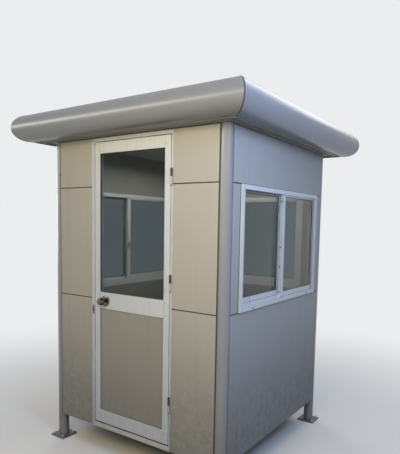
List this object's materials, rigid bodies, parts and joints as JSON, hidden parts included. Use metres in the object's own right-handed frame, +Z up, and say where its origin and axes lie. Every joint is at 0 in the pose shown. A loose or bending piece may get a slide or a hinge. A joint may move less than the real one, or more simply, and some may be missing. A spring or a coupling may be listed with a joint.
{
  "type": "security guard booth",
  "caption": "Small square guard booth on short round legs with panelled walls, sliding windows on the sides and back, a part-glazed hinged door and a flat roof with half-round edges.",
  "frame": {"origin": "on the ground at the centre of the plan, level with the undersides of the feet", "axes": "+Z up, the door looks along -Y, +X is to the right seen from outside in front of the door"},
  "size_m": [1.93, 1.93, 2.413],
  "materials": {
    "post_silver": "satin silver-grey paint",
    "foot_steel": "worn grey paint",
    "base_steel": "dark primer",
    "floor_board": "faced board",
    "wall_core": "matt beige lining",
    "silver_panel": "satin metallic silver",
    "roof_silver": "smooth metallic silver",
    "soffit_silver": "satin metallic silver",
    "ceiling_white": "matt white",
    "white_frame": "white powder coat",
    "clear_glass": "clear",
    "door_silver": "satin metallic silver",
    "hinge_steel": "dull",
    "knob_steel": "satin"
  },
  "bodies": {
    "booth": {"corner_post_front_left": "post_silver", "corner_post_front_right": "post_silver", "corner_post_back_left": "post_silver", "corner_post_back_right": "post_silver", "base_plates": "foot_steel", "base_frame": "base_steel", "floor_joists": "base_steel", "floor_deck": "floor_board", "front_wall_left": "wall_core", "front_wall_right": "wall_core", "right_wall": "wall_core", "back_wall": "wall_core", "left_wall": "wall_core", "front_panels_left": "silver_panel", "front_panels_right": "silver_panel", "right_panels": "silver_panel", "back_panels": "silver_panel", "left_panels": "silver_panel", "roof_edge_front": "roof_silver", "roof_edge_right": "roof_silver", "roof_edge_back": "roof_silver", "roof_edge_left": "roof_silver", "soffit": "soffit_silver", "ceiling": "ceiling_white", "roof_rafters": "base_steel", "roof_deck": "roof_silver", "window_right_frame": "white_frame", "window_right_sashes": "white_frame", "window_right_glass": "clear_glass", "window_back_frame": "white_frame", "window_back_sashes": "white_frame", "window_back_glass": "clear_glass", "window_left_frame": "white_frame", "window_left_sashes": "white_frame", "window_left_glass": "clear_glass", "door_frame": "white_frame", "door_threshold": "white_frame", "hinge_jamb_halves": "hinge_steel"},
    "door": {"door_leaf": "white_frame", "door_glass": "clear_glass", "door_panel": "door_silver", "hinge_leaf_halves": "hinge_steel", "knob_roses": "knob_steel"},
    "knob": {"door_knob": "knob_steel"}
  },
  "joints": [
    {"name": "door_swing", "type": "hinge", "parent": "booth", "child": "door", "pos_m": [0.35, -0.76, 1.2], "axis": [0, 0, 1], "range_deg": [0, 160]},
    {"name": "knob_turn", "type": "hinge", "parent": "door", "child": "knob", "pos_m": [-0.222, -0.753, 1.1075], "axis": [0, 1, 0], "range_deg": [-50, 50], "stiffness_Nm_per_rad": 0.3}
  ]
}
